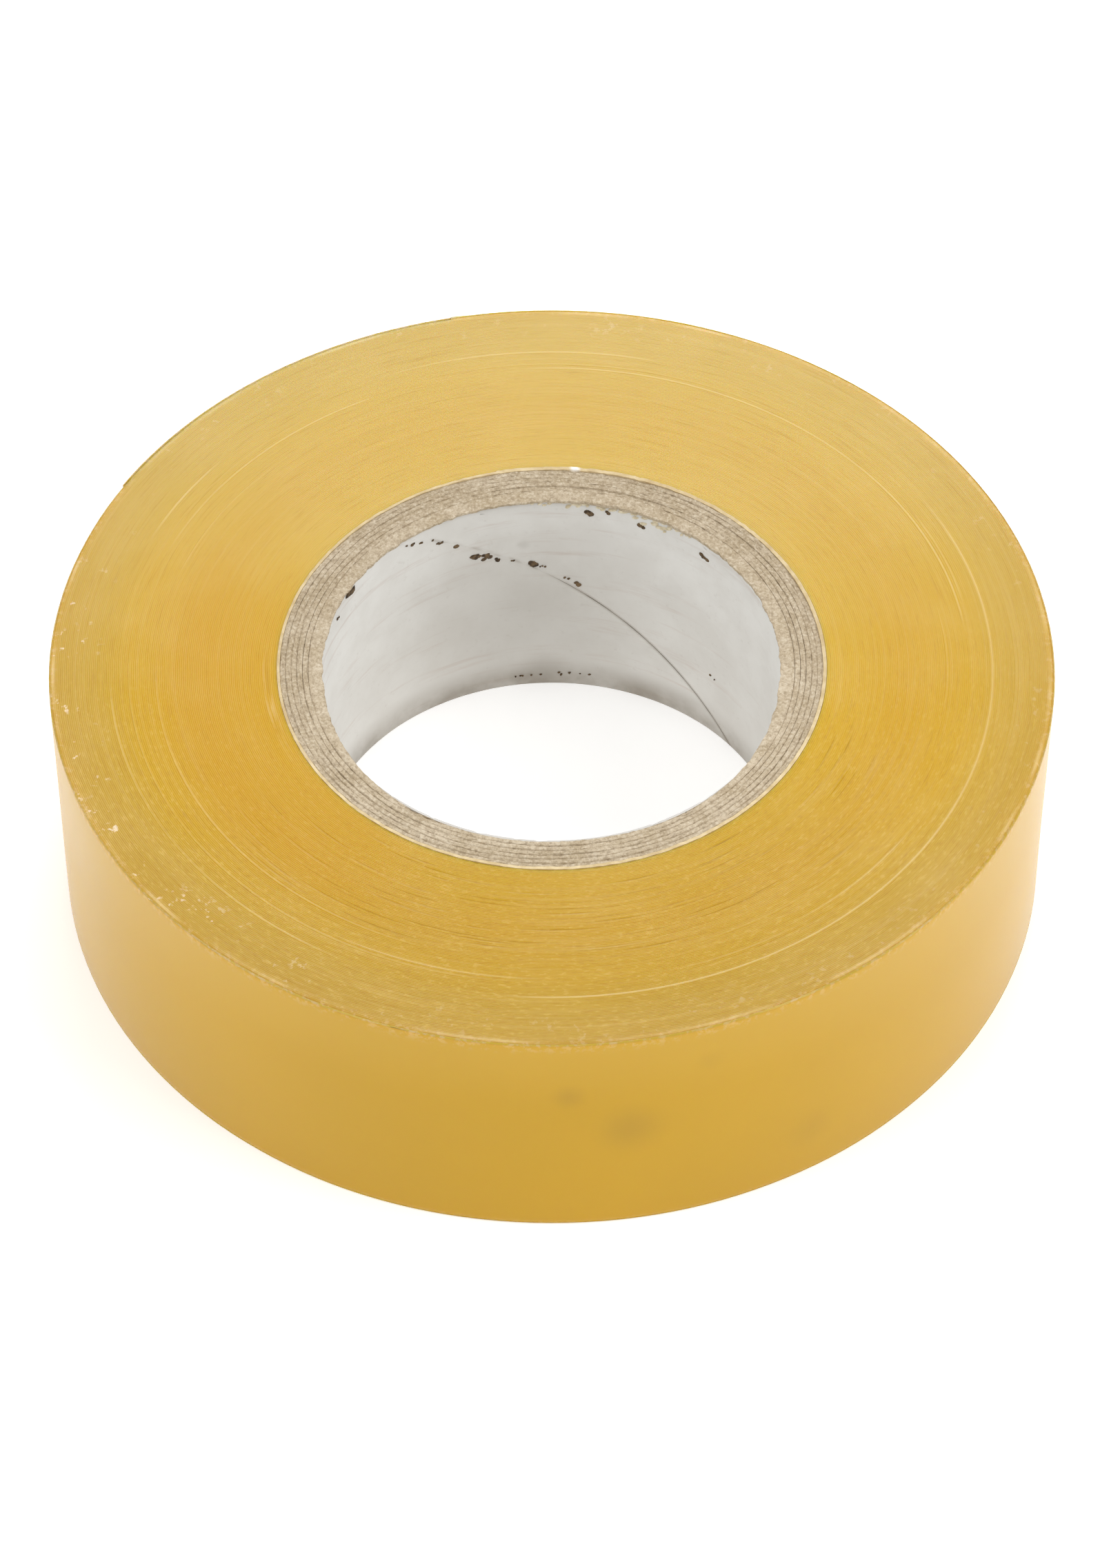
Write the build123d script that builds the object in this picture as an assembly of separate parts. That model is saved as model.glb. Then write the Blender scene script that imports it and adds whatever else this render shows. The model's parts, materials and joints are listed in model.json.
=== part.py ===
"""A roll of clear PVC electrical tape, 19 mm wide and 20 m long, wound on a spiral paper core.

Frame: origin at the centre of the bore in the lower side face, +Z up along the bore, millimetres.
"""

import math
import os

from build123d import *

# Driving dimensions
TAPE_WIDTH = 19.0
TAPE_THICKNESS = 0.13  # film and adhesive together
FILM_THICKNESS = 0.11  # the film alone, which is what lifts off at the free end
TAPE_LENGTH = 20000.0
SIDE_LEAN = 1.72  # degrees; one edge of the pack is wound a little tighter than the other

BORE_RADIUS = 16.0
LINER_THICKNESS = 0.17
BOARD_PLIES = 6
BOARD_THICKNESS = 0.385
WRAP_THICKNESS = 0.17

WIND_ANGLE = 54.0  # degrees between the core's axis and the edge of each paper strip
SEAM_GAP = 0.3  # between the two edges of a strip where it meets itself
LINER_SEAM_START = 38.5  # degrees round the bore where the liner's seam meets the lower face
SEAM_STAGGER = 147.5  # degrees from one ply's seam to the next

TIP_ANGLE = 150.0  # degrees round the roll to the tape's free end
TAIL_SEGMENTS = 8
TAIL_SEGMENT_ANGLE = 6.0
TAIL_SLIT = 0.02  # between neighbouring stretches of the tail, and beyond its free end

# Derived dimensions
CORE_RADIUS = BORE_RADIUS + LINER_THICKNESS + BOARD_PLIES * BOARD_THICKNESS + WRAP_THICKNESS
ROLL_RADIUS = math.sqrt(TAPE_LENGTH * TAPE_THICKNESS / math.pi + CORE_RADIUS**2)
LEAN_SLOPE = math.tan(math.radians(SIDE_LEAN))
LEAN_TURN = math.radians(SIDE_LEAN)
STEP_OFFSET = TAPE_THICKNESS / 4  # how far each half turn's centre stands off the bore axis
SEAM_PITCH = 2 * math.pi * BORE_RADIUS / math.tan(math.radians(WIND_ANGLE))
SEAM_MARGIN = 1.0  # the seam cutter runs past both ends of the core by this much
SLIT_ANGLE = math.degrees(TAIL_SLIT / ROLL_RADIUS)
CUT_REACH = ROLL_RADIUS + 5.0  # cutting shapes reach this far from the bore axis
TIP_DIRECTION = Vector(math.cos(math.radians(TIP_ANGLE)), math.sin(math.radians(TIP_ANGLE)), 0)


def tube(inner_radius, outer_radius):
    """A ring as wide as the tape, standing on the lower side face."""
    disc = Circle(outer_radius) - Circle(inner_radius)
    return extrude(disc, TAPE_WIDTH)


def seam_cutter(radius, thickness, start_angle):
    """The slit between the edges of one paper strip, climbing round the core."""
    height = TAPE_WIDTH + 2 * SEAM_MARGIN
    twist = 360.0 * height / SEAM_PITCH
    first = start_angle - 360.0 * SEAM_MARGIN / SEAM_PITCH
    # The strip's edges are square to the slit, so its level section is wider than the gap.
    level_width = SEAM_GAP / math.cos(math.radians(WIND_ANGLE))
    middle = radius + thickness / 2
    section = Rot(0, 0, first) * Pos(middle, 0, -SEAM_MARGIN) * Rectangle(2 * thickness, level_width)
    return Solid.extrude_linear_with_rotation(
        section.face(), (0, 0, -SEAM_MARGIN), (0, 0, height), twist
    )


def core_ply(inner_radius, thickness, seam_angle):
    """One paper strip wound into a tube, with its open butt seam."""
    ring = tube(inner_radius, inner_radius + thickness)
    return ring - seam_cutter(inner_radius, thickness, seam_angle)


def half_turn(radius, centre_offset, side):
    """Half of a leaning round body: side 1 holds the 180 degrees past the free end, side -1 the rest."""
    body = Cone(radius - LEAN_SLOPE * TAPE_WIDTH, radius, TAPE_WIDTH)
    half = Pos(0, side * CUT_REACH / 2, 0) * Box(2 * CUT_REACH, CUT_REACH, TAPE_WIDTH)
    return Pos(0, 0, TAPE_WIDTH / 2) * Rot(0, 0, TIP_ANGLE) * (Pos(centre_offset, 0, 0) * body & half)


def wound_body(tip_radius):
    """Everything within one turn of the spiral that ends at tip_radius, as two tangent half turns."""
    just_past_the_end = half_turn(tip_radius - 3 * STEP_OFFSET, -STEP_OFFSET, 1)
    up_to_the_end = half_turn(tip_radius - STEP_OFFSET, STEP_OFFSET, -1)
    return just_past_the_end + up_to_the_end


def sector(first_angle, last_angle):
    """A wedge from the centre of the last half turn, used to cut its tape into stretches."""
    first, last = (math.radians(angle) for angle in (first_angle, last_angle))
    reach = CUT_REACH / math.cos((last - first) / 2)
    wedge = Polygon(
        (0, 0),
        (reach * math.cos(first), reach * math.sin(first)),
        (reach * math.cos(last), reach * math.sin(last)),
        align=None,
    )
    centre = STEP_OFFSET * TIP_DIRECTION
    return Pos(centre.X, centre.Y, 0) * extrude(wedge, TAPE_WIDTH)


def tail_edges():
    """The angles at which the tail's stretches begin, and the angle of its free end."""
    first = TIP_ANGLE - TAIL_SEGMENTS * TAIL_SEGMENT_ANGLE
    return [first + i * TAIL_SEGMENT_ANGLE for i in range(TAIL_SEGMENTS + 1)]


def hinge_line(angle):
    """A point on the lower edge of the roll's outer surface, and the direction of its side there."""
    turn = math.radians(angle)
    outward = Vector(math.cos(turn), math.sin(turn), 0)
    lower_radius = ROLL_RADIUS - STEP_OFFSET - LEAN_SLOPE * TAPE_WIDTH
    point = STEP_OFFSET * TIP_DIRECTION + lower_radius * outward
    direction = math.sin(LEAN_TURN) * outward + math.cos(LEAN_TURN) * Vector(0, 0, 1)
    return point, direction


def core_parts():
    """The core's paper strips from the bore outwards, each with its seam staggered from the last."""
    plies = [("core_liner", LINER_THICKNESS)]
    plies += [(f"core_board_ply_{i + 1}", BOARD_THICKNESS) for i in range(BOARD_PLIES)]
    plies += [("core_outer_wrap", WRAP_THICKNESS)]
    radius, parts = BORE_RADIUS, {}
    for i, (name, thickness) in enumerate(plies):
        parts[name] = core_ply(radius, thickness, LINER_SEAM_START + i * SEAM_STAGGER)
        radius += thickness
    return parts


def tape_parts():
    """The wound pack, the last turn down to the peel line, and the stretches of its free tail."""
    whole_roll = wound_body(ROLL_RADIUS)
    under_last_turn = wound_body(ROLL_RADIUS - TAPE_THICKNESS)
    under_tail_film = wound_body(ROLL_RADIUS - FILM_THICKNESS)
    core_space = extrude(Circle(CORE_RADIUS), TAPE_WIDTH)

    edges = tail_edges()
    last_turn = whole_roll - under_last_turn
    tail_film = whole_roll - under_tail_film
    parts = {
        "tape_wound_pack": under_last_turn - core_space,
        "tape_outer_turn": last_turn - sector(edges[0], edges[-1] + SLIT_ANGLE),
    }
    for i in range(TAIL_SEGMENTS):
        stretch = sector(edges[i] + SLIT_ANGLE, edges[i + 1])
        parts[f"tape_tail_{i + 1}"] = tail_film & stretch
    return parts


def main():
    os.makedirs("parts", exist_ok=True)
    for name, shape in {**core_parts(), **tape_parts()}.items():
        export_step(Compound(shape.solids()), f"parts/{name}.step")

    print(f"core radius {CORE_RADIUS:.3f}, roll radius {ROLL_RADIUS:.3f}")
    print(f"lower roll radius {ROLL_RADIUS - LEAN_SLOPE * TAPE_WIDTH:.3f}")
    for i, angle in enumerate(tail_edges()[:-1]):
        point, direction = hinge_line(angle)
        print(f"tail hinge {i + 1}: at {tuple(point)}, along {tuple(direction)}")


main()
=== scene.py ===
"""A roll of amber PVC electrical tape on its paper core, lying on a pale studio floor.

Everything is in metres, in the frame of the CAD model: +Z up along the bore, the lower side face at
z = 0. Angles run anticlockwise from +X, seen from above.
"""

import json
import math

import bpy
import numpy as np
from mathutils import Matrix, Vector


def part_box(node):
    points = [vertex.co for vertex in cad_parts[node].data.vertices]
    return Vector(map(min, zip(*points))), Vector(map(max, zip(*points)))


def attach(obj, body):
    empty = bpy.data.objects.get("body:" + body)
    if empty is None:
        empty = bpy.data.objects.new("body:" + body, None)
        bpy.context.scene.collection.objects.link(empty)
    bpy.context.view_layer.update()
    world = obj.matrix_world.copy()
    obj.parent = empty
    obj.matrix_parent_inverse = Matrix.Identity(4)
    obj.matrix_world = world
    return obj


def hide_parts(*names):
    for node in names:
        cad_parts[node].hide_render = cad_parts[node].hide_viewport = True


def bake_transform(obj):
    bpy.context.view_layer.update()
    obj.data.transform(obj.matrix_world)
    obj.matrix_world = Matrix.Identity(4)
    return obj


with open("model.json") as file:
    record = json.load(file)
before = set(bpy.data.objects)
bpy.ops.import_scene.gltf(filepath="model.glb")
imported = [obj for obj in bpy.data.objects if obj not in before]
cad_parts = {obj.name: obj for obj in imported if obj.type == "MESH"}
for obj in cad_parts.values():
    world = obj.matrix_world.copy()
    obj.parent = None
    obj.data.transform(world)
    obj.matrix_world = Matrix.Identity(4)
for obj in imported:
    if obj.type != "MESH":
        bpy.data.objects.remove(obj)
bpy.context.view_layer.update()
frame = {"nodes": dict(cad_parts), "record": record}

MM = 0.001
TURN = 2 * math.pi

# Taken from the frame
MOUNTS = frame["record"]["mounts"]
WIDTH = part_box("tape_wound_pack")[1][2]
BORE_RADIUS = next(m for m in MOUNTS if m["name"] == "bore")["dims"]["r_mm"] * MM
BOARD_NODES = sorted(n for n in frame["nodes"] if n.startswith("core_board_ply"))
CORE_NODES = ["core_liner", *BOARD_NODES, "core_outer_wrap"]
CORE_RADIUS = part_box("core_outer_wrap")[1][0]
TAIL_NODES = sorted(n for n in frame["nodes"] if n.startswith("tape_tail"))

# The tape's free end, as the CAD model has it
TIP_ANGLE = math.radians(150)
STRETCH_ANGLE = math.radians(6)
PEEL_ANGLE = TIP_ANGLE - len(TAIL_NODES) * STRETCH_ANGLE
TAPE_THICKNESS = 0.13 * MM
FILM_THICKNESS = 0.125 * MM
ROLL_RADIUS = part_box(TAIL_NODES[-1])[0][0] / math.cos(TIP_ANGLE)
LEAN = math.tan(math.radians(1.72))
TUCK_LENGTH = 0.06 * MM  # how far a stretch of film slips inside the next
TUCK_DEPTH = 0.0007 * MM  # how far under the next one's surfaces it does so

# The core's seams
WIND_ANGLE = math.radians(54)  # between the bore's axis and the edges of a paper strip
SEAM_PITCH = TURN * BORE_RADIUS / math.tan(WIND_ANGLE)
SEAM_BOW = 0.048  # radians that a seam strays from its helix half way up
LINER_SEAM = math.radians(38.5)
SEAM_STAGGER = math.radians(147.5)
SEAM_GAP = 0.05 * MM
BOARD_SEAM_GAP = 0.05 * MM
LIP = 0.62 * MM  # how far the innermost board's frayed upper edge hangs over the bore


# ---------------------------------------------------------------- noise and meshes


def smoothstep(x):
    x = np.clip(x, 0, 1)
    return x * x * (3 - 2 * x)


def value_noise(rng, x, y, columns, rows):
    """Smooth noise from -1 to 1 on a wrapped grid; x and y count once round it from 0 to 1."""
    grid = rng.uniform(-1, 1, (columns, rows))
    x, y = np.asarray(x) * columns, np.asarray(y) * rows
    column, row = np.floor(x).astype(int), np.floor(y).astype(int)
    across, up = smoothstep(x - column), smoothstep(y - row)
    left, right = column % columns, (column + 1) % columns
    below, above = row % rows, (row + 1) % rows
    low = grid[left, below] * (1 - across) + grid[right, below] * across
    high = grid[left, above] * (1 - across) + grid[right, above] * across
    return low * (1 - up) + high * up


def cloud(rng, x, y, columns, rows, octaves=3):
    """Value noise with finer, weaker copies of itself on top."""
    total = 0
    for i in range(octaves):
        total = total + value_noise(rng, x, y, columns * 2**i, rows * 2**i) / 2**i
    return total / 1.5


def bump_near(angle, centre, half_width):
    """1 at an angle, falling to 0 half_width away from it, all in radians."""
    away = np.abs((angle - centre + math.pi) % TURN - math.pi)
    return smoothstep(1 - away / half_width)


def polar(radius, angle, z):
    return np.stack(np.broadcast_arrays(radius * np.cos(angle), radius * np.sin(angle), z), axis=-1)


def grid_faces(index, closed=False):
    """Quads over a 2-D array of vertex numbers; closed joins the last of each row to its first."""
    if closed:
        index = np.concatenate([index, index[:, :1]], axis=1)
    corners = index[:-1, :-1], index[1:, :-1], index[1:, 1:], index[:-1, 1:]
    return np.stack(corners, axis=-1).reshape(-1, 4).tolist()


def make_mesh(name, points, faces, materials, face_materials=None, sharp=35, extra=None):
    """A piece from its points and faces, with its resting place kept on each vertex for the shaders."""
    mesh = bpy.data.meshes.new(name)
    mesh.from_pydata(np.asarray(points).tolist(), [], faces)
    for material in materials:
        mesh.materials.append(material)
    if face_materials is not None:
        mesh.polygons.foreach_set("material_index", np.asarray(face_materials, np.int32))
    for attribute_name, values in {"rest_place": np.asarray(points), **(extra or {})}.items():
        kind, key = ("FLOAT_VECTOR", "vector") if np.ndim(values) == 2 else ("FLOAT", "value")
        attribute = mesh.attributes.new(attribute_name, kind, "POINT")
        attribute.data.foreach_set(key, np.asarray(values, np.float32).ravel())
    mesh.shade_smooth()
    mesh.set_sharp_from_angle(angle=math.radians(sharp))
    piece = bpy.data.objects.new(name, mesh)
    bpy.context.collection.objects.link(piece)
    return piece


# ---------------------------------------------------------------- materials


class Paint:
    """A material built from nodes round one Principled shader."""

    def __init__(self, name):
        self.material = bpy.data.materials.new(name)
        self.material.use_nodes = True
        self.tree = self.material.node_tree
        self.shader = self.tree.nodes["Principled BSDF"]
        self.place = self.add("ShaderNodeAttribute", attribute_name="rest_place").outputs["Vector"]

    def add(self, kind, inputs=None, **settings):
        node = self.tree.nodes.new(kind)
        for key, value in settings.items():
            setattr(node, key, value)
        for key, value in (inputs or {}).items():
            self.feed(node.inputs[key], value)
        return node

    def feed(self, socket, value):
        if isinstance(value, bpy.types.NodeSocket):
            self.tree.links.new(value, socket)
        else:
            socket.default_value = value

    def math(self, operation, a, b=0.0):
        return self.add("ShaderNodeMath", {0: a, 1: b}, operation=operation).outputs[0]

    def noise(self, scale, detail=3.0, roughness=0.5, place=None, distortion=0.0):
        inputs = {
            "Vector": self.place if place is None else place,
            "Scale": scale,
            "Detail": detail,
            "Roughness": roughness,
            "Distortion": distortion,
        }
        return self.add("ShaderNodeTexNoise", inputs).outputs["Fac"]

    def between(self, value, low, high, to_low=0.0, to_high=1.0):
        """Runs smoothly from to_low to to_high as value goes from low to high."""
        inputs = {
            "Value": value,
            "From Min": low,
            "From Max": high,
            "To Min": to_low,
            "To Max": to_high,
        }
        node = self.add("ShaderNodeMapRange", inputs, interpolation_type="SMOOTHSTEP")
        return node.outputs["Result"]

    def mix(self, share, a, b):
        """A colour that is a at share 0 and b at share 1."""
        node = self.add("ShaderNodeMix", {0: share}, data_type="RGBA")
        self.feed(node.inputs[6], a)
        self.feed(node.inputs[7], b)
        return node.outputs[2]

    def ramp(self, value, stops):
        node = self.add("ShaderNodeValToRGB", {0: value})
        elements = node.color_ramp.elements
        while len(elements) < len(stops):
            elements.new(0.5)
        for element, (position, colour) in zip(elements, stops):
            element.position, element.color = position, colour
        return node.outputs["Color"]

    def scaled_place(self, factors):
        inputs = {0: self.place, 1: factors}
        return self.add("ShaderNodeVectorMath", inputs, operation="MULTIPLY").outputs[0]

    def attribute(self, name):
        return self.add("ShaderNodeAttribute", attribute_name=name).outputs["Fac"]

    def axis_and_radius(self):
        """The direction from the bore's axis, as x and y, and the distance from it."""
        parts = self.add("ShaderNodeSeparateXYZ", {0: self.place})
        x, y, z = parts.outputs
        squares = self.math("ADD", self.math("MULTIPLY", x, x), self.math("MULTIPLY", y, y))
        radius = self.math("SQRT", squares)
        return self.math("DIVIDE", x, radius), self.math("DIVIDE", y, radius), z, radius

    def rings(self, around, across):
        """A place that changes slowly round the roll and fast along its radius."""
        x, y, _, radius = self.axis_and_radius()
        inputs = {
            0: self.math("MULTIPLY", x, around),
            1: self.math("MULTIPLY", y, around),
            2: self.math("MULTIPLY", radius, across),
        }
        return self.add("ShaderNodeCombineXYZ", inputs).outputs[0]

    def bump(self, height, distance, strength=1.0, below=None):
        inputs = {"Height": height, "Distance": distance, "Strength": strength}
        if below is not None:
            inputs["Normal"] = below
        return self.add("ShaderNodeBump", inputs).outputs[0]

    def spot(self, point, reach):
        """1 at a point, fading to 0 at that distance."""
        inputs = {0: self.place, 1: point}
        away = self.add("ShaderNodeVectorMath", inputs, operation="DISTANCE").outputs["Value"]
        return self.between(away, 0.0, reach, 1.0, 0.0)

    def smudges_and_shade(self, body, spots, radius, colour):
        """Adds round smudges, or round patches of painted shade, on a cylinder: each has an angle in
        degrees, height, reach and strength.
        """
        for degrees, height, reach, strength in spots:
            point = polar(radius, math.radians(degrees), height * MM)
            share = self.math("MULTIPLY", self.spot(point, reach * MM), strength)
            body = self.mix(share, body, colour)
        return body

    def finish(self, **sockets):
        names = {name.replace(" ", "_").lower(): name for name in self.shader.inputs.keys()}
        for key, value in sockets.items():
            self.feed(self.shader.inputs[names[key]], value)
        return self.material


def srgb(red, green, blue):
    """A linear colour from 0-255 screen values."""
    def linear(level):
        level /= 255
        return level / 12.92 if level <= 0.04045 else ((level + 0.055) / 1.055) ** 2.4
    return (linear(red), linear(green), linear(blue), 1.0)


# How light spreads inside the film, farthest in red, and its index of refraction
PVC = {"subsurface_radius": (1.0, 0.6, 0.1), "subsurface_scale": 1.2 * MM, "ior": 1.5}


def tape_edge_material():
    """The two faces of the roll, where the stacked edges of the tape show."""
    paint = Paint("tape_edges")
    x, y, _, radius = paint.axis_and_radius()
    from_core_to_rim = [
        (0.0, srgb(203, 162, 6)),
        (0.25, srgb(201, 156, 0)),
        (0.7, srgb(200, 157, 0)),
        (0.86, srgb(194, 155, 32)),
        (1.0, srgb(191, 153, 46)),
    ]
    body = paint.ramp(paint.between(radius, CORE_RADIUS, ROLL_RADIUS), from_core_to_rim)
    # Painted sheen: the faces grow paler towards the back, where the light behind the roll gleams on
    # them.
    painted_sheen_at_back = paint.between(y, -0.2, 1.0, 0.0, 0.55)
    body = paint.mix(painted_sheen_at_back, body, srgb(210, 185, 116))
    # Painted shade: the faces grow darker towards the front.
    painted_shade_at_front = paint.between(y, -0.2, -1.0, 0.0, 0.35)
    body = paint.mix(painted_shade_at_front, body, srgb(176, 142, 54))
    fine = paint.noise(1.0, 2.0, place=paint.rings(9.0, 8200.0))
    broad = paint.noise(1.0, 3.0, place=paint.rings(2.5, 1100.0))
    patchy = paint.noise(140.0, 4.0, 0.6)
    grain = paint.noise(2600.0, 4.0, 0.65)
    nicks = paint.noise(1.0, 2.0, 0.6, place=paint.rings(46.0, 5200.0))
    nicked = paint.between(y, 0.25, -0.6, 0.15, 1.0)
    body = paint.mix(paint.between(fine, 0.52, 0.78, 0.0, 0.3), body, srgb(170, 122, 14))
    dark_nicks = paint.math("MULTIPLY", paint.between(nicks, 0.54, 0.7, 0.0, 0.3), nicked)
    pale_nicks = paint.math("MULTIPLY", paint.between(nicks, 0.46, 0.3, 0.0, 0.22), nicked)
    body = paint.mix(dark_nicks, body, srgb(172, 124, 18))
    body = paint.mix(pale_nicks, body, srgb(232, 200, 120))
    body = paint.mix(paint.between(broad, 0.5, 0.78, 0.0, 0.13), body, srgb(226, 192, 104))
    body = paint.mix(paint.between(patchy, 0.45, 0.8, 0.0, 0.1), body, srgb(222, 190, 112))
    # Paler where worn, and as a painted highlight along the raised turns.
    body = paint.mix(paint.attribute("scuff_and_highlight"), body, srgb(236, 212, 156))
    # Darker where soiled, and as painted shade in the sunk turns.
    body = paint.mix(paint.attribute("soil_and_shade"), body, srgb(132, 92, 20))

    # Pale specks of dust and torn film stick to the outer turns, most of them on one side.
    towards = paint.math("ADD", paint.math("MULTIPLY", x, -0.94), paint.math("MULTIPLY", y, -0.34))
    place_share = paint.between(towards, 0.6, 0.95, 0.22, 1.0)
    deeper = paint.math("MULTIPLY", place_share, paint.between(radius, 28.5 * MM, 24.0 * MM, 0.0, 0.5))
    body = paint.mix(deeper, body, srgb(199, 147, 0))
    band = paint.between(radius, 30.0 * MM, 33.0 * MM)
    clusters = paint.between(paint.noise(330.0, 2.0), 0.42, 0.62)
    flakes = paint.between(paint.noise(1500.0, 3.0, 0.6), 0.6, 0.68)
    rim_flakes = paint.math("MULTIPLY", paint.between(radius, 33.4 * MM, 34.3 * MM), 0.3)
    rim_flakes = paint.math("MULTIPLY", rim_flakes, paint.between(grain, 0.5, 0.64))
    specks = paint.math("MULTIPLY", paint.math("MULTIPLY", flakes, clusters), band)
    specks = paint.math("MAXIMUM", paint.math("MULTIPLY", specks, place_share), rim_flakes)
    body = paint.mix(paint.math("MULTIPLY", specks, 0.8), body, srgb(244, 224, 194))
    normal = paint.bump(fine, 0.012 * MM, 0.5)
    normal = paint.bump(nicks, 0.01 * MM, paint.math("MULTIPLY", nicked, 0.3), normal)
    return paint.finish(
        base_color=body,
        roughness=paint.between(patchy, 0.2, 0.8, 0.5, 0.38),
        normal=normal,
        subsurface_weight=0.5,
        **PVC,
        specular_ior_level=0.3,
    )


def tape_film_material(name, subsurface, darker, lighter):
    """The smooth outside of the film, faintly smudged and a little scuffed along its edges."""
    paint = Paint(name)
    _, _, height, _ = paint.axis_and_radius()
    clouds = paint.noise(60.0, 3.0, 0.5)
    body = paint.mix(paint.between(clouds, 0.3, 0.75), darker, lighter)
    # Painted reflection: the wall grows paler towards its upper edge.
    body = paint.mix(paint.between(height, 0.6 * WIDTH, WIDTH, 0.0, 0.3), body, srgb(206, 168, 66))
    spots = [
        (272, 13.5, 1.6, 0.2),
        (279, 9.8, 3.2, 0.22),
        (301, 4.5, 2.6, 0.1),
        (288, 15.5, 1.4, 0.08),
    ]
    body = paint.smudges_and_shade(body, spots, ROLL_RADIUS, srgb(128, 100, 34))
    grain = paint.noise(2200.0, 4.0, 0.6)
    upper = paint.between(height, WIDTH - 1.2 * MM, WIDTH - 0.1 * MM)
    lower = paint.between(height, 0.5 * MM, 0.05 * MM, 0.0, 0.4)
    by_rims = paint.math("MAXIMUM", upper, lower)
    scuffs = paint.math("MULTIPLY", by_rims, paint.between(grain, 0.46, 0.64))
    body = paint.mix(paint.math("MULTIPLY", scuffs, 0.25), body, srgb(232, 206, 160))
    ripple = paint.noise(130.0, 2.0, 0.5)
    return paint.finish(
        base_color=body,
        roughness=paint.between(clouds, 0.25, 0.75, 0.2, 0.27),
        normal=paint.bump(ripple, 0.04 * MM, 0.4),
        subsurface_weight=subsurface,
        **PVC,
        specular_ior_level=0.35,
    )


def board_material():
    """Grey-brown board, cut across, with its fibres and glue lines, darker at the back."""
    paint = Paint("core_board")
    fibres = paint.noise(1.0, 5.0, 0.65, place=paint.rings(24.0, 6500.0), distortion=0.4)
    specks = paint.noise(4400.0, 3.0, 0.7, distortion=0.3)
    mottle = paint.noise(420.0, 4.0, 0.6)
    _, y, _, _ = paint.axis_and_radius()
    body = paint.mix(paint.between(mottle, 0.3, 0.7), srgb(188, 170, 140), srgb(208, 192, 166))
    body = paint.mix(paint.between(y, -1.0, 1.0, 0.0, 0.3), body, srgb(146, 128, 102))
    body = paint.mix(paint.between(specks, 0.48, 0.66, 0.0, 0.42), body, srgb(122, 100, 74))
    body = paint.mix(paint.between(fibres, 0.54, 0.75, 0.0, 0.3), body, srgb(130, 108, 82))
    body = paint.mix(paint.between(specks, 0.5, 0.32, 0.0, 0.42), body, srgb(232, 221, 200))
    # Darker along the glue lines, and as painted shade in the cracks of the innermost ply's lip.
    body = paint.mix(paint.attribute("soil_and_shade"), body, srgb(104, 82, 56))
    normal = paint.bump(specks, 0.05 * MM, 0.8)
    normal = paint.bump(fibres, 0.05 * MM, 0.6, normal)
    roughness = paint.between(mottle, 0, 1, 0.8, 0.95)
    return paint.finish(base_color=body, roughness=roughness, normal=normal)


def wrap_material():
    """Thin cream paper, a little darker at the back; below zero, soil is bare white paper."""
    paint = Paint("core_wrap")
    soil_and_shade = paint.attribute("soil_and_shade")
    fibres = paint.noise(1300.0, 5.0, 0.6)
    body = paint.mix(paint.between(fibres, 0.3, 0.7), srgb(206, 182, 134), srgb(232, 212, 170))
    _, y, _, _ = paint.axis_and_radius()
    body = paint.mix(paint.between(y, -0.7, 0.1, 0.0, 0.25), body, srgb(178, 156, 118))
    body = paint.mix(soil_and_shade, body, srgb(168, 134, 86))
    body = paint.mix(paint.between(soil_and_shade, 0.0, -1.0), body, srgb(252, 248, 240))
    normal = paint.bump(fibres, 0.03 * MM, 0.6)
    roughness = paint.between(fibres, 0, 1, 0.7, 0.9)
    return paint.finish(base_color=body, roughness=roughness, normal=normal)


def liner_material():
    """White lining paper with faint scuffs, with painted shade darkening it towards the lower end of the
    bore and over the middle of its back wall.
    """
    paint = Paint("core_liner_paper")
    _, _, height, _ = paint.axis_and_radius()
    mottle = paint.noise(230.0, 4.0, 0.6)
    fibres = paint.noise(1800.0, 4.0, 0.6)
    scratches = paint.noise(1.0, 4.0, 0.65, place=paint.scaled_place((110.0, 110.0, 1400.0)))
    body = paint.mix(paint.between(mottle, 0.3, 0.7), srgb(222, 220, 215), srgb(232, 231, 227))
    # Painted shade: the paper darkens steadily towards the lower end of the bore.
    body = paint.mix(paint.between(height, 0.0, WIDTH, 0.26, 0.0), body, srgb(176, 168, 156))
    body = paint.mix(paint.between(scratches, 0.54, 0.78, 0.0, 0.5), body, srgb(196, 180, 170))
    body = paint.mix(paint.between(fibres, 0.58, 0.8, 0.0, 0.25), body, srgb(176, 168, 158))
    # The first, broad patch is painted shade over the middle of the back wall; the other two are
    # smudges.
    spots = [(100, 9, 14, 0.42), (97, 14.2, 0.7, 0.25), (92, 0.9, 2.6, 0.5)]
    body = paint.smudges_and_shade(body, spots, BORE_RADIUS, srgb(150, 144, 134))
    low = paint.between(height, 0.0, 3.0 * MM, 1.0, 0.0)
    dirt = paint.math("MULTIPLY", low, paint.between(mottle, 0.3, 0.7, 0.3, 0.9))
    body = paint.mix(dirt, body, srgb(140, 130, 116))
    body = paint.mix(paint.attribute("soil_and_shade"), body, srgb(116, 98, 74))
    normal = paint.bump(fibres, 0.015 * MM, 0.6)
    normal = paint.bump(mottle, 0.02 * MM, 0.4, normal)
    roughness = paint.between(mottle, 0, 1, 0.55, 0.75)
    return paint.finish(base_color=body, roughness=roughness, normal=normal)


def fleck_material(name, darker, lighter):
    """Torn paper fibres and dirt."""
    paint = Paint(name)
    grain = paint.noise(2500.0, 4.0, 0.6)
    body = paint.mix(paint.between(grain, 0.3, 0.7), darker, lighter)
    return paint.finish(base_color=body, roughness=0.9, normal=paint.bump(grain, 0.04 * MM, 0.8))


# ---------------------------------------------------------------- the paper core


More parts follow.
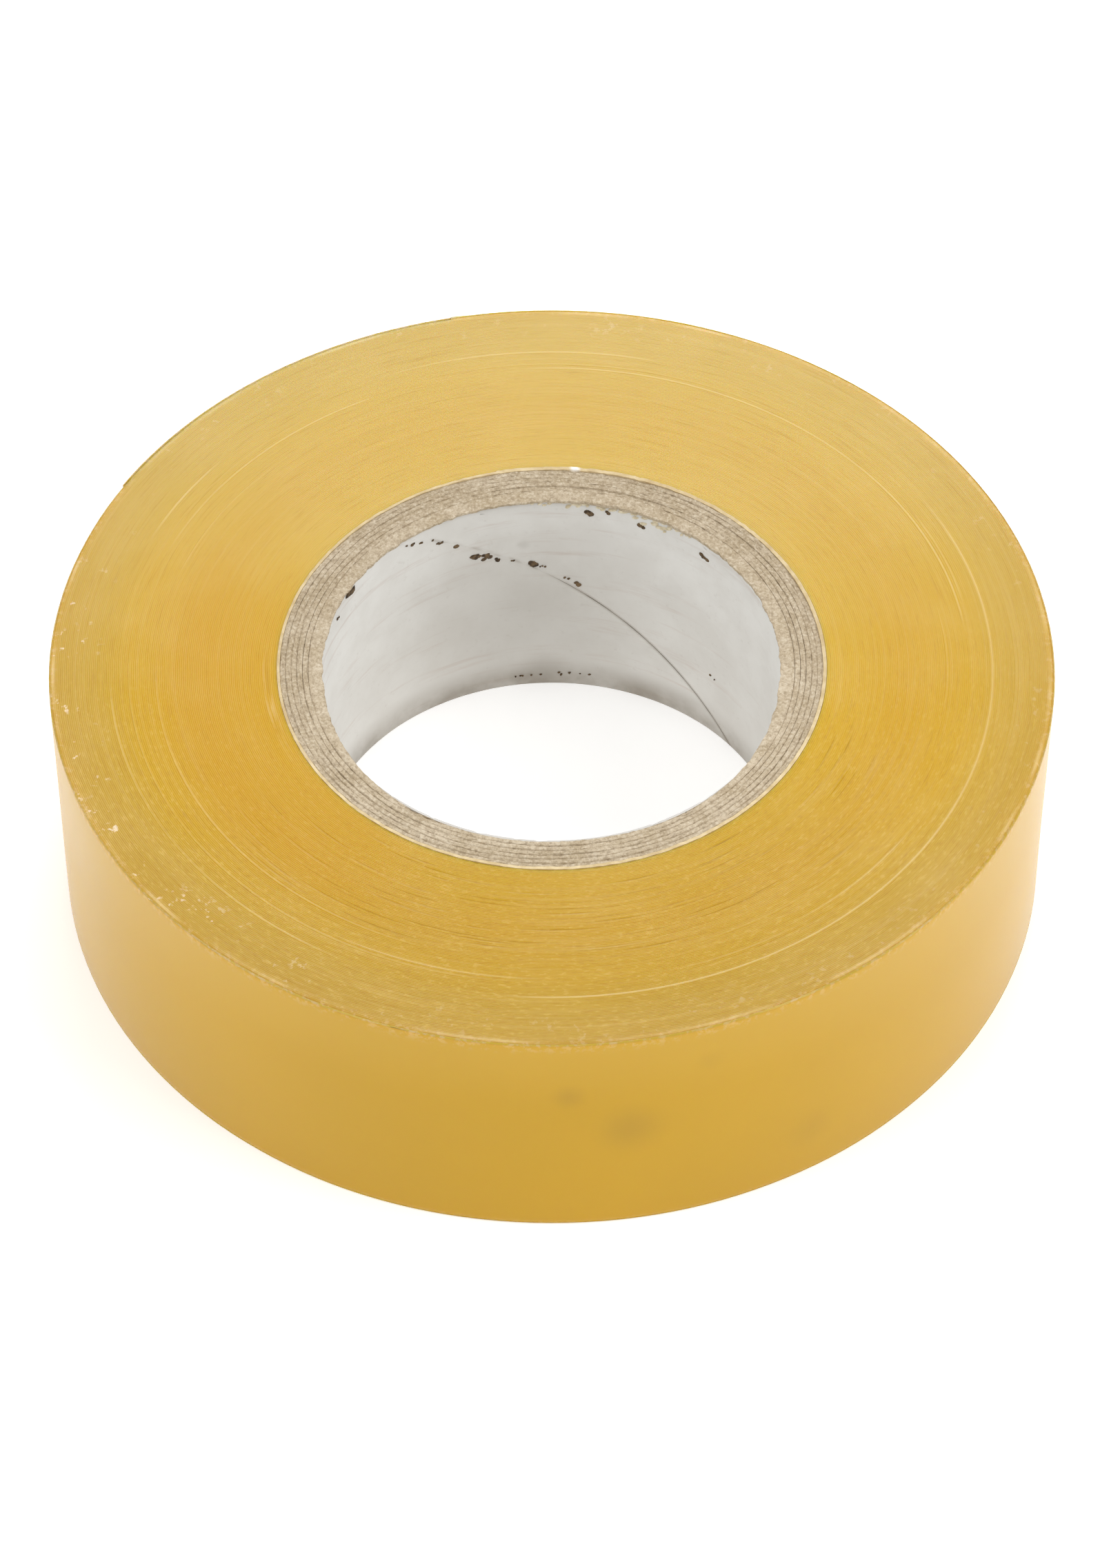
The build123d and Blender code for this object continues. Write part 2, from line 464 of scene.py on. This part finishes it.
def seam_angle(z, start):
    """Where a strip's edge is at a height: a helix that strays a little half way up."""
    return start + TURN * z / SEAM_PITCH - SEAM_BOW * np.sin(math.pi * z / WIDTH)


def overhang(angle):
    """Share of the frayed lip that hangs over the bore: none at the front, all at the sides and back."""
    return smoothstep((np.sin(angle) + 0.9) / 0.9)


def paper_tube(name, radii, seam_start, gap, material, columns, heights, end_rows, shape):
    """One paper strip wound into a tube, open along its helical seam.

    shape(angle, z, share across the thickness) gives offsets outwards and upwards, and the soiling, with
    painted shade in the cracks of the board's lip.
    """
    inner, outer = radii
    rows, ends = len(heights), end_rows - 2
    shares = np.linspace(0, 1, end_rows)
    inner_wall = [(0.0, z) for z in heights]
    top_end = [(share, WIDTH) for share in shares[1:-1]]
    outer_wall = [(1.0, z) for z in heights[::-1]]
    lower_end = [(share, 0.0) for share in shares[-2:0:-1]]
    loop = np.array(inner_wall + top_end + outer_wall + lower_end)
    share, z = loop[:, 0], loop[:, 1]

    along = np.linspace(0, 1, columns)[:, None]
    rng = np.random.default_rng(len(name))
    open_share = 1 - 0.85 * smoothstep((z - 9 * MM) / (3 * MM))
    ragged = gap * open_share * (0.5 + 0.35 * cloud(rng, z / WIDTH, along * 0, 40, 2, 3))
    half_gap = ragged / inner / math.cos(WIND_ANGLE)
    angle = seam_angle(z, seam_start) + half_gap + along * (TURN - 2 * half_gap)
    outwards, upwards, soil_and_shade = shape(angle, z, np.broadcast_to(share, angle.shape))
    radius = inner + share * (outer - inner) + outwards
    points = polar(radius, angle, np.maximum(z + upwards, 0))

    index = np.arange(points.shape[0] * points.shape[1]).reshape(points.shape[:2])
    faces = grid_faces(index[:, ::-1], closed=True)
    for column, flip in ((index[0], False), (index[-1], True)):
        inside, outside = column[:rows], column[rows + ends : 2 * rows + ends][::-1]
        cap = grid_faces(np.stack([inside, outside], axis=1))
        cap.append([*column[rows - 1 : rows + ends + 1]])
        cap.append([*column[2 * rows + ends - 1 :], column[0]])
        faces += [face if flip else face[::-1] for face in cap]
    piece = make_mesh(name, points.reshape(-1, 3), faces, [material], extra={"soil_and_shade": soil_and_shade.ravel()})
    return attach(piece, "roll")


def end_rise(z):
    """1 at the upper end of the core, -1 at the lower end and 0 between them."""
    return np.where(z > WIDTH - 0.01 * MM, 1.0, np.where(z < 0.01 * MM, -1.0, 0.0))


def liner_shape(seed):
    rng = np.random.default_rng(seed)

    def shape(angle, z, _share):
        turn, level = angle / TURN % 1, z / WIDTH / 2
        waves = 0.016 * cloud(rng, turn, level, 12, 6, 2)
        creases = 0.005 * cloud(rng, turn, level, 160, 40, 2)
        from_seam = (angle - seam_angle(z, LINER_SEAM)) % TURN * BORE_RADIUS
        to_seam = np.minimum(from_seam, TURN * BORE_RADIUS - from_seam)
        lifted = smoothstep((z - 6 * MM) / (6 * MM)) * smoothstep(1 - to_seam / (0.9 * MM))
        outwards = (waves + creases) * MM - 0.06 * MM * lifted
        frayed = np.clip(cloud(rng, turn, level * 0, 150, 2, 4) - 0.1, 0, 1)
        torn = (0.1 + 0.5 * overhang(angle) + 0.25 * frayed) * MM
        upwards = -torn * smoothstep((z - WIDTH + 2 * MM) / (2 * MM))
        near_edge = smoothstep(1 - to_seam / (0.4 * MM)) * smoothstep((z - 8 * MM) / (4 * MM))
        thin_line = smoothstep(1 - to_seam / (0.4 * MM)) * smoothstep((12 * MM - z) / (3 * MM))
        rim = smoothstep((z - WIDTH + 0.4 * MM) / (0.4 * MM))
        soil_and_shade = 0.55 * near_edge * np.clip(cloud(rng, turn, level, 260, 60, 2) + 0.2, 0, 1)
        soil_and_shade = np.maximum(soil_and_shade, 0.5 * thin_line)
        soil_and_shade = np.maximum(soil_and_shade, 0.42 * rim * (0.6 + 0.4 * frayed))
        return np.maximum(outwards, -0.12 * MM), upwards, soil_and_shade

    return shape


def board_shape(seed, thickness, lip):
    """One ply of board; lip is how far its upper inner edge may hang over the bore."""
    rng = np.random.default_rng(seed)

    def shape(angle, z, share):
        turn = angle / TURN % 1
        at_end = end_rise(z)
        rough = 0.07 * cloud(rng, turn, share * 0.5, 420, 8, 3)
        uneven = 0.06 * value_noise(rng, turn, share * 0, 26, 1)
        edge = np.maximum(smoothstep(1 - share / 0.2), smoothstep(1 - (1 - share) / 0.2))
        near_side = 1 - 0.85 * smoothstep((np.sin(angle) + 0.9) / 1.3)
        broken = np.clip(0.5 + 0.9 * cloud(rng, turn, share * 0, 46, 1, 3), 0, 1)
        glue = edge * broken * near_side
        upwards = at_end * (rough + uneven - 0.07 * glue - 0.04) * MM
        soil_and_shade = np.abs(at_end) * 0.3 * glue
        if lip:
            # Two cracks in the lip, lowered and darkened with painted shade.
            places = (238, 9), (303, 5)
            cracks = sum(bump_near(angle, math.radians(d), math.radians(w)) for d, w in places)
            cracks = cracks * np.clip(cloud(rng, turn, share, 300, 6, 2) + 0.35, 0, 1) * (1 - share)
            upwards = upwards - at_end * 0.2 * MM * cracks
            soil_and_shade = np.maximum(soil_and_shade, np.abs(at_end) * 0.85 * cracks)
        inset = at_end**2 * edge * 0.05 * thickness
        outwards = np.where(share < 0.5, inset, -inset)
        ragged = 1 + 0.16 * cloud(rng, turn, share * 0, 220, 1, 3)
        over_bore = smoothstep((z - WIDTH + 0.7 * MM) / (0.45 * MM)) * (1 - share)
        return outwards - lip * overhang(angle) * ragged * over_bore, upwards, soil_and_shade

    return shape


def wrap_shape(seed):
    rng = np.random.default_rng(seed)

    def shape(angle, z, share):
        turn = angle / TURN % 1
        rough = 0.05 * cloud(rng, turn, share * 0, 300, 1, 3)
        scrap = bump_near(angle, math.radians(85), math.radians(1.8))
        upwards = end_rise(z) * (rough + 0.03 + 0.05 * scrap) * MM
        # The tape's first turn leaves a narrow wedge beside the core, which the loose paper fills.
        wedge = (angle - PEEL_ANGLE) % TURN / TURN
        outwards = 0.8 * TAPE_THICKNESS * wedge * share
        soil_and_shade = np.clip(0.6 * cloud(rng, turn, share * 0, 90, 1, 3) - 0.1, 0, 1)
        return outwards, upwards, np.where(scrap > 0.2, -scrap, soil_and_shade)

    return shape


def make_core():
    board, liner, wrap = board_material(), liner_material(), wrap_material()
    near_the_top = WIDTH - np.array([0.7, 0.5, 0.35, 0.2, 0.1, 0.0]) * MM
    coarse_rows = np.concatenate([np.linspace(0, WIDTH - 1 * MM, 26), near_the_top])
    fine_rows = np.linspace(0, WIDTH, 78)
    inner = BORE_RADIUS
    for i, node in enumerate(CORE_NODES):
        radii = inner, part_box(node)[1][0]
        seam = LINER_SEAM + i * SEAM_STAGGER
        name = node.replace("core_", "paper_")
        if node == "core_liner":
            shape = liner_shape(11)
            piece = paper_tube(name, radii, seam, SEAM_GAP, liner, 620, fine_rows, 3, shape)
        elif node == "core_outer_wrap":
            shape = wrap_shape(12)
            piece = paper_tube(name, radii, seam, BOARD_SEAM_GAP, wrap, 600, coarse_rows, 4, shape)
        else:
            lip = LIP if node == BOARD_NODES[0] else 0
            shape = board_shape(20 + i, radii[1] - radii[0], lip)
            piece = paper_tube(name, radii, seam, BOARD_SEAM_GAP, board, 600, coarse_rows, 9, shape)
        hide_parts(node)
        inner = radii[1]


def fleck(rng, angle, z, size, stretch):
    """A small crumb or scrap stuck to the liner: its points and faces."""
    sides = 9
    turn = np.arange(sides) * TURN / sides
    reach = size * rng.uniform(0.75, 1.0, sides)
    tilt = rng.normal(0, 0.3) - math.radians(20)
    cosine, sine = math.cos(tilt), math.sin(tilt)
    long, short = reach * np.cos(turn) * stretch, reach * np.sin(turn)
    along, up = long * cosine - short * sine, long * sine + short * cosine
    rise = rng.uniform(0.05, 0.12) * MM
    base = polar(BORE_RADIUS - 0.01 * MM, angle + along / BORE_RADIUS, z + up)
    crown = polar(BORE_RADIUS - rise, angle + 0.6 * along / BORE_RADIUS, z + 0.6 * up)
    side_faces = [[i, (i + 1) % sides, sides + (i + 1) % sides, sides + i] for i in range(sides)]
    floor, top = list(range(sides))[::-1], list(range(sides, 2 * sides))
    return np.concatenate([base, crown]), [floor, *side_faces, top]


def make_crumbs(name, material, clumps, seed):
    """Crumbs in clumps, all in one piece. Above 2 mm a clump follows the seam's slope."""
    rng = np.random.default_rng(seed)
    points, faces, count = [], [], 0
    for degrees, height, size, crumbs, spread, stretch in clumps:
        for _ in range(crumbs):
            along = rng.normal(0, spread) * MM
            angle = math.radians(degrees) + along / BORE_RADIUS
            off_seam = 0.5 * along + rng.normal(0, 0.3 * spread) * MM
            z = height * MM + off_seam * (height > 2)
            crumb = fleck(rng, angle, z, size * rng.uniform(0.5, 1.0) * MM, stretch)
            faces += [[i + count for i in face] for face in crumb[1]]
            points.append(crumb[0])
            count += len(crumb[0])
    piece = make_mesh(name, np.concatenate(points), faces, [material], sharp=20)
    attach(piece, "roll")


def make_flecks():
    """Dark crumbs where the liner's seam has frayed, dirt near its foot and torn paper at its rim."""
    # Each clump: angle in degrees, height in mm, crumb size in mm, count, spread in mm and stretch
    clumps = [
        (151, 17.9, 0.32, 5, 0.3, 1.5),
        (157, 16.9, 0.14, 3, 0.25, 1.2),
        (127, 17.5, 0.2, 4, 0.3, 1.1),
        (122.5, 17.0, 0.21, 3, 0.25, 1.1),
        (118.5, 16.3, 0.19, 3, 0.2, 1.1),
        (114.5, 15.5, 0.3, 5, 0.06, 1.0),
        (109.5, 13.8, 0.24, 7, 0.26, 1.5),
        (106, 13.6, 0.28, 6, 0.22, 1.4),
        (103.5, 13.1, 0.2, 4, 0.16, 1.3),
        (99.5, 12.8, 0.14, 4, 0.2, 1.4),
        (95, 12.25, 0.36, 5, 0.08, 1.1),
        (92, 11.9, 0.12, 3, 0.2, 1.4),
        (86.5, 10.8, 0.1, 3, 0.2, 1.6),
        (83.6, 10.25, 0.27, 4, 0.07, 1.1),
        (80.5, 17.45, 0.4, 5, 0.08, 1.0),
        (76, 17.8, 0.18, 3, 0.1, 1.0),
        (67, 17.3, 0.3, 4, 0.1, 1.2),
        (49, 17.0, 0.2, 4, 0.2, 1.2),
        (46, 5.6, 0.15, 2, 0.2, 1.2),
        (93, 0.9, 0.1, 6, 1.6, 1.4),
        (87, 1.1, 0.1, 4, 1.2, 1.4),
    ]
    dark = fleck_material("fray", srgb(52, 40, 28), srgb(116, 94, 66))
    make_crumbs("paper_fray", dark, clumps, 5)
    torn = [(degrees, 18.25, 0.17, 3, 0.22, 1.9) for degrees in range(54, 96, 3)]
    torn += [(62, 17.9, 0.2, 6, 0.5, 2.0), (70, 18.0, 0.2, 6, 0.5, 2.0)]
    pale = fleck_material("fringe", srgb(206, 192, 160), srgb(236, 226, 200))
    make_crumbs("paper_fringe", pale, torn, 6)


# ---------------------------------------------------------------- the tape


def outer_radius(angle):
    """The outside of the last turn at the upper edge, a spiral that ends at the tape's tip."""
    past_tip = (angle - TIP_ANGLE) % TURN
    past_tip = np.where(past_tip == 0, TURN, past_tip)
    return ROLL_RADIUS - TAPE_THICKNESS * (1 - past_tip / TURN)


def leaning(radius, z):
    """The radius that a turn has lower down, where the pack is wound tighter."""
    share = (radius - CORE_RADIUS) / (ROLL_RADIUS - CORE_RADIUS)
    return radius - LEAN * (WIDTH - z) * share


SUNK_DASHES = 90


def face_relief(rng, angle, radius):
    """Height, paleness and soiling of the stacked edges of the tape, the paleness partly a painted
    highlight and the soiling partly painted shade.
    """
    turn, across = angle / TURN % 1, (radius - CORE_RADIUS) / (ROLL_RADIUS - CORE_RADIUS)
    height = 0.035 * value_noise(rng, turn, across, 5, 3)
    height = height + 0.006 * cloud(rng, turn, across, 14, 118, 1)
    pale = 0.10 * np.clip(cloud(rng, turn, across, 9, 100, 2), 0, 1)
    soil_and_shade = np.zeros_like(height)
    # Turns that stand out: radius and width in mm, and paleness, a painted highlight along each raised
    # turn
    proud = (30.0, 0.12, 0.5), (28.4, 0.1, 0.42), (28.75, 0.08, 0.25), (26.9, 0.08, 0.22)
    for at, width, strength in proud:
        ring = smoothstep(1 - np.abs(radius - at * MM) / (width * MM))
        present = smoothstep(0.2 + 1.1 * value_noise(rng, turn, across * 0, 17, 1))
        height = height + 0.03 * ring * present
        pale = pale + strength * ring * present
    # Sunk dashes: short stretches of turn set lower and darkened with painted shade.
    for _ in range(SUNK_DASHES):
        at, centre = rng.uniform(19.6, 26.5) * MM, math.radians(rng.uniform(215, 340))
        length = math.radians(rng.uniform(2, 9))
        dash = smoothstep(1 - np.abs(radius - at) / (0.09 * MM)) * bump_near(angle, centre, length)
        height = height - 0.03 * dash
        soil_and_shade = soil_and_shade + 0.3 * rng.uniform(0.4, 1.0) * dash
    by_core = smoothstep(1 - np.abs(radius - 19.4 * MM) / (0.5 * MM))
    by_core = by_core * bump_near(angle, math.radians(190), 0.35)
    rubbed = 2.5 * cloud(rng, turn, across, 60, 100, 2)
    pale = pale + 0.7 * by_core * np.clip(rubbed, 0, 1)
    soil_and_shade = soil_and_shade + 0.4 * by_core * np.clip(-rubbed, 0, 1)
    by_rim = smoothstep(1 - np.abs(radius - 33.9 * MM) / (0.2 * MM))
    pale = pale + 0.5 * by_rim * np.clip(0.2 + 1.2 * cloud(rng, turn, across * 0, 70, 1, 3), 0, 1)
    rim = np.clip((radius - (ROLL_RADIUS - 0.45 * MM)) / (0.45 * MM), 0, 1) ** 2
    height = height - 0.14 * rim * (1 + 0.3 * value_noise(rng, turn, across * 0, 40, 1))
    return height * MM, np.clip(pale, 0, 1), np.clip(soil_and_shade, 0, 1)


STEPS_PER_TURN = 180


def rows_between_rims(near_rim, middle_rows):
    """Heights from the top down; near_rim is the depths in mm of the rows crowded near each rim."""
    near_rim = np.array(near_rim)
    middle = np.linspace(0.6, WIDTH / MM - 0.6, middle_rows)
    depth = np.concatenate([near_rim, middle, WIDTH / MM - near_rim[::-1]])
    return WIDTH - depth * MM


def make_wound_tape(edges, film):
    """The pack and its last turn up to the peel line, as the one continuous strip that it is."""
    rng = np.random.default_rng(3)
    steps = STEPS_PER_TURN
    first_free = outer_radius(PEEL_ANGLE) - TAPE_THICKNESS
    turns = round((first_free - CORE_RADIUS) / TAPE_THICKNESS)
    pitch = (first_free - CORE_RADIUS) / turns
    wound = turns * steps
    seam = np.arange(wound + steps + 1)
    edge = np.arange(wound + 1)

    def angle_at(column):
        return PEEL_ANGLE + TURN * column / steps

    def radius_at(column, share):
        return CORE_RADIUS + pitch * (column / steps + share)

    points, scuff_and_highlight, soil_and_shade, layers = [], [], [], {}
    count = 0
    profile = ("groove", seam, 0.0, 0.012), ("inner", edge, 0.25, 0), ("outer", edge, 0.75, 0)
    for name, columns, share, dip in profile:
        radius, angle = radius_at(columns, share), angle_at(columns)
        height, pale, dark = face_relief(np.random.default_rng(7), angle, radius)
        points.append(polar(radius, angle, WIDTH + height - dip * MM))
        scuff_and_highlight.append(pale)
        soil_and_shade.append(dark)
        layers[name] = count + np.arange(len(columns))
        count += len(columns)
    radius, angle = radius_at(seam, 0.0), angle_at(seam)
    height, pale, dark = face_relief(np.random.default_rng(8), angle, radius)
    points.append(polar(leaning(radius, 0), angle, -np.minimum(height, 0)))
    scuff_and_highlight.append(pale)
    soil_and_shade.append(dark)
    layers["below"] = count + np.arange(len(seam))
    count += len(seam)

    groove, inner, outer, below = (layers[name] for name in ("groove", "inner", "outer", "below"))
    here = slice(0, wound + 1)
    beyond = groove[steps:]
    upper = grid_faces(np.stack([groove[here], inner, outer, beyond], axis=1))
    lower = grid_faces(np.stack([below[steps:], below[here]], axis=1))

    rows = rows_between_rims([0.03, 0.08, 0.16, 0.3], 26)
    last = seam[wound:]
    angle, radius = angle_at(last)[:, None], radius_at(last, 0.0)[:, None]
    turn, level = angle / TURN % 1, rows / WIDTH / 2
    swell = 0.05 * cloud(rng, turn, level, 9, 3, 2) * (1 - np.abs(2 * rows / WIDTH - 1) ** 4)
    fade = smoothstep((angle - angle[0]) / 0.12) * smoothstep((angle[-1] - angle) / 0.12)
    from_rim = np.minimum(WIDTH - rows, rows)
    bare = np.where((angle - PEEL_ANGLE) % TURN < TIP_ANGLE - PEEL_ANGLE, 0, 1)
    rounding = 0.1 * bare * np.clip(1 - from_rim / (0.35 * MM), 0, 1) ** 2
    wall_radius = leaning(radius, rows) + (swell * fade - rounding) * MM
    wall = polar(wall_radius, angle, rows)
    wall_index = count + np.arange(wall.shape[0] * wall.shape[1]).reshape(wall.shape[:2])
    points.append(wall.reshape(-1, 3))
    scuff_and_highlight.append(np.zeros(wall_index.size))
    soil_and_shade.append(np.zeros(wall_index.size))
    skin = np.concatenate([groove[wound:, None], wall_index, below[wound:, None]], axis=1)
    outside = grid_faces(skin[:, ::-1])
    step = grid_faces(np.stack([wall_index[-1], wall_index[0]], axis=1))
    upper_end = [groove[wound], inner[-1], outer[-1], groove[-1]]
    step.append([wall_index[0, 0], *upper_end, wall_index[-1, 0]])
    step.append([below[-1], below[wound], wall_index[0, -1], wall_index[-1, -1]])

    bore = grid_faces(np.stack([groove[: steps + 1], below[: steps + 1]], axis=1))
    start = [[groove[0], below[0], below[steps], groove[steps], outer[0], inner[0]]]

    groups = (upper, 0), (lower, 0), (outside, 1), (step, 1), (bore, 0), (start, 0)
    faces = [face for group, _ in groups for face in group]
    face_materials = [material for group, material in groups for _ in group]
    piece = make_mesh(
        "wound_tape",
        np.concatenate(points),
        faces,
        [edges, film],
        face_materials,
        extra={"scuff_and_highlight": np.concatenate(scuff_and_highlight), "soil_and_shade": np.concatenate(soil_and_shade)},
    )
    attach(piece, "roll")
    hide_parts("tape_wound_pack", "tape_outer_turn")


def film_piece(name, first, last, material):
    """A stretch of the free end between two angles, open where its neighbours carry on.

    Its far end slips a little way inside the next stretch, so that no gap opens as the film bends.
    """
    columns = round((last - first) / math.radians(0.25)) + 1
    angle = np.linspace(first, last, columns)
    tuck = np.zeros(columns)
    if last < TIP_ANGLE:
        angle = np.append(angle, last + TUCK_LENGTH / ROLL_RADIUS)
        tuck = np.append(tuck, TUCK_DEPTH)
    angle, tuck = angle[:, None], tuck[:, None]
    outside = outer_radius(angle)
    z = rows_between_rims([0.09, 0.13, 0.2, 0.32], 14)
    from_rim = np.minimum(z, WIDTH - z)
    rounding = 0.03 * MM * np.clip(1 - (from_rim - 0.09 * MM) / (0.1 * MM), 0, 1) ** 2
    front = polar(leaning(outside, z) - rounding - tuck, angle, z)
    back = polar(leaning(outside, z[::-1]) - FILM_THICKNESS + rounding[::-1] + tuck, angle, z[::-1])
    points = np.concatenate([front, back], axis=1)
    index = np.arange(points.shape[0] * points.shape[1]).reshape(points.shape[:2])
    faces = grid_faces(index[:, ::-1], closed=True)
    if last >= TIP_ANGLE:
        rows = len(z)
        faces += grid_faces(np.stack([index[-1, :rows], index[-1, rows:][::-1]], axis=1))
    piece = make_mesh(name, points.reshape(-1, 3), faces, [material])
    return piece


def make_free_end(material):
    """The last stretches of tape, each cut half way between two hinges."""
    half = STRETCH_ANGLE / 2
    for i, node in enumerate(TAIL_NODES):
        hinge = PEEL_ANGLE + i * STRETCH_ANGLE
        first = max(hinge - half, PEEL_ANGLE)
        last = TIP_ANGLE if node == TAIL_NODES[-1] else hinge + half
        piece = film_piece(f"free_end_{i + 1}", first, last, material)
        centre = polar(outer_radius(hinge), hinge, WIDTH / 2)
        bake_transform(piece)
        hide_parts(node)


# ---------------------------------------------------------------- camera, floor and light


def look_at(thing, target):
    direction = Vector(target) - thing.location
    thing.rotation_euler = direction.to_track_quat("-Z", "Y").to_euler()


def make_camera():
    elevation = math.radians(47.67)
    distance = 19.195 * ROLL_RADIUS
    target = Vector((0.017 * ROLL_RADIUS, 0, 0.2027 * ROLL_RADIUS))
    data = bpy.data.cameras.new("camera")
    data.lens = 219.13
    data.sensor_width = 36
    camera = bpy.data.objects.new("camera", data)
    bpy.context.collection.objects.link(camera)
    camera.location = target + distance * Vector((0, -math.cos(elevation), math.sin(elevation)))
    look_at(camera, target)
    bpy.context.scene.camera = camera


def make_floor():
    mesh = bpy.data.meshes.new("floor")
    reach = 2.0
    corners = [(-reach, -reach, 0), (reach, -reach, 0), (reach, reach, 0), (-reach, reach, 0)]
    mesh.from_pydata(corners, [], [(0, 1, 2, 3)])
    floor = bpy.data.objects.new("floor", mesh)
    floor.location.z = -0.02 * MM
    bpy.context.collection.objects.link(floor)
    material = bpy.data.materials.new("floor")
    material.use_nodes = True
    shader = material.node_tree.nodes["Principled BSDF"]
    shader.inputs["Base Color"].default_value = (0.88, 0.88, 0.88, 1)
    shader.inputs["Roughness"].default_value = 0.9
    shader.inputs["Specular IOR Level"].default_value = 0.0
    shader.inputs["Emission Color"].default_value = (1, 1, 1, 1)
    shader.inputs["Emission Strength"].default_value = 0.4
    mesh.materials.append(material)


def soft_light(name, location, size, power):
    data = bpy.data.lights.new(name, "AREA")
    data.shape = "DISK"
    data.size = size
    data.energy = power
    light = bpy.data.objects.new(name, data)
    light.location = location
    bpy.context.collection.objects.link(light)
    look_at(light, (0, 0, WIDTH / 2))


def make_light():
    world = bpy.data.worlds.new("studio")
    bpy.context.scene.world = world
    world.use_nodes = True
    background = world.node_tree.nodes["Background"]
    background.inputs["Color"].default_value = (1, 1, 1, 1)
    background.inputs["Strength"].default_value = 0.7
    soft_light("behind", (0.03, 0.3, 0.28), 0.25, 0.6)
    soft_light("right", (0.42, -0.2, 0.42), 0.35, 1.15)
    soft_light("left", (-0.4, -0.24, 0.42), 0.35, 0.6)
    bpy.context.scene.view_settings.view_transform = "Standard"


make_camera()
make_floor()
make_light()
make_core()
make_flecks()
pack_film = tape_film_material("tape_film", 0.5, srgb(192, 149, 0), srgb(196, 152, 0))
make_wound_tape(tape_edge_material(), pack_film)
# One loose thickness of film scatters nothing sideways, so it is tinted to match the pack instead.
make_free_end(tape_film_material("tape_film_end", 0.0, srgb(187, 143, 0), srgb(191, 147, 0)))
